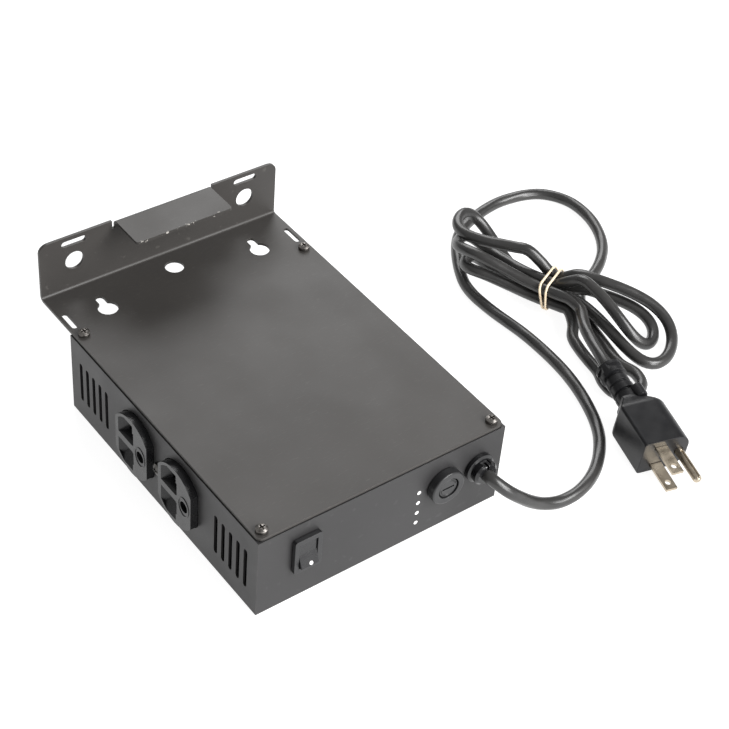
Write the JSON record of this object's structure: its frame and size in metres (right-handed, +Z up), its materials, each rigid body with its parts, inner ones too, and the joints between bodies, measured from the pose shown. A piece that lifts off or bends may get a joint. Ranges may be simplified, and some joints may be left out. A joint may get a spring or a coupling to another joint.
{
  "type": "lighting chase controller",
  "caption": "Flat black steel box under a plate with a raised flange; duplex receptacles on its sides, rocker switch, fuse holder and a banded power cord with its plug.",
  "frame": {"origin": "on the table under the middle of the box, its fuse holder's face and its mounting flange, the cord, hank, plug and gland left out", "axes": "+Y along the box's length, from the end panel with the switch to the mounting flange; +Z up, from the tray's floor to the plate; +X towards the side that the cord lies on"},
  "size_m": [0.3401, 0.2512, 0.0815],
  "materials": {
    "black_paint": "satin black paint, worn at the edges",
    "grey_paint": "matt dark grey paint",
    "black_plastic": "moulded, satin",
    "black_vinyl": "smooth flexible vinyl",
    "plated_steel": "zinc plated",
    "nickel_plate": "dull nickel plate",
    "brass": "plain strip",
    "aluminium": "as extruded",
    "fuse_glass": "clear tube",
    "cream_rubber": "matt rubber band",
    "board_green": "glass-epoxy board with solder mask",
    "terminal_green": "moulded",
    "winding_copper": "enamelled copper wire",
    "core_iron": "stacked steel sheets",
    "white_plastic": "moulded nylon",
    "capacitor_sleeve": "shrunk sleeve"
  },
  "bodies": {
    "housing": {"base_tray": "black_paint", "board_support_1": "white_plastic", "board_support_2": "white_plastic", "board_support_3": "white_plastic", "board_support_4": "white_plastic", "capacitor": "capacitor_sleeve", "control_board": "board_green", "cord_band": "cream_rubber", "cord_gland": "black_plastic", "cord_inlet_jacket": "black_vinyl", "fuse_end_contact": "brass", "fuse_holder_body": "black_plastic", "fuse_holder_nut": "black_plastic", "fuse_side_terminal": "brass", "heatsink": "aluminium", "hot_contact_1_left": "brass", "hot_contact_1_right": "brass", "hot_contact_2_left": "brass", "hot_contact_2_right": "brass", "lid_screw_1": "plated_steel", "lid_screw_2": "plated_steel", "lid_screw_3": "plated_steel", "lid_screw_4": "plated_steel", "microcontroller": "black_plastic", "mounting_plate": "grey_paint", "neutral_contact_left": "brass", "neutral_contact_right": "brass", "pattern_switch_body": "black_plastic", "plug_blade_1": "nickel_plate", "plug_blade_2": "nickel_plate", "plug_body": "black_vinyl", "plug_ground_pin": "nickel_plate", "plug_lead": "black_vinyl", "potentiometer": "aluminium", "potentiometer_nut": "plated_steel", "power_cord": "black_vinyl", "power_cord_hank": "black_vinyl", "receptacle_body_left": "black_plastic", "receptacle_body_right": "black_plastic", "receptacle_screw_left": "plated_steel", "receptacle_screw_right": "plated_steel", "receptacle_strap_left": "plated_steel", "receptacle_strap_right": "plated_steel", "rocker_housing": "black_plastic", "rocker_terminal_1": "brass", "rocker_terminal_2": "brass", "terminal_block": "terminal_green", "transformer_core": "core_iron", "transformer_winding": "winding_copper", "triac_1": "black_plastic", "triac_2": "black_plastic", "triac_3": "black_plastic", "triac_4": "black_plastic"},
    "rocker": {"rocker_paddle": "black_plastic"},
    "fuse": {"fuse_glass": "fuse_glass", "fuse_element": "nickel_plate"},
    "fuse_cap": {"fuse_cap": "black_plastic"},
    "speed_control": {"speed_shaft": "plated_steel", "speed_knob": "black_plastic"},
    "pattern_button": {"pattern_button": "black_plastic"}
  },
  "joints": [
    {"name": "rocker_hinge", "type": "hinge", "parent": "housing", "child": "rocker", "pos_m": [-0.04455, -0.09675, 0.0285], "axis": [1, 0, 0], "range_deg": [0, 24]},
    {"name": "fuse_slide", "type": "slide", "parent": "housing", "child": "fuse", "axis": [0, -1, 0], "range_m": [0, 0.03]},
    {"name": "fuse_cap_turn", "type": "hinge", "parent": "fuse", "child": "fuse_cap", "pos_m": [0.03495, -0.0961, 0.0285], "axis": [0, 1, 0], "range_deg": [0, 60]},
    {"name": "speed_knob_turn", "type": "hinge", "parent": "housing", "child": "speed_control", "pos_m": [-0.02275, 0.08, 0.024], "axis": [0, 1, 0], "range_deg": [-150, 150]},
    {"name": "pattern_button_press", "type": "slide", "parent": "housing", "child": "pattern_button", "axis": [0, -1, 0], "range_m": [0, 0.0012], "stiffness_N_per_m": 1500}
  ]
}
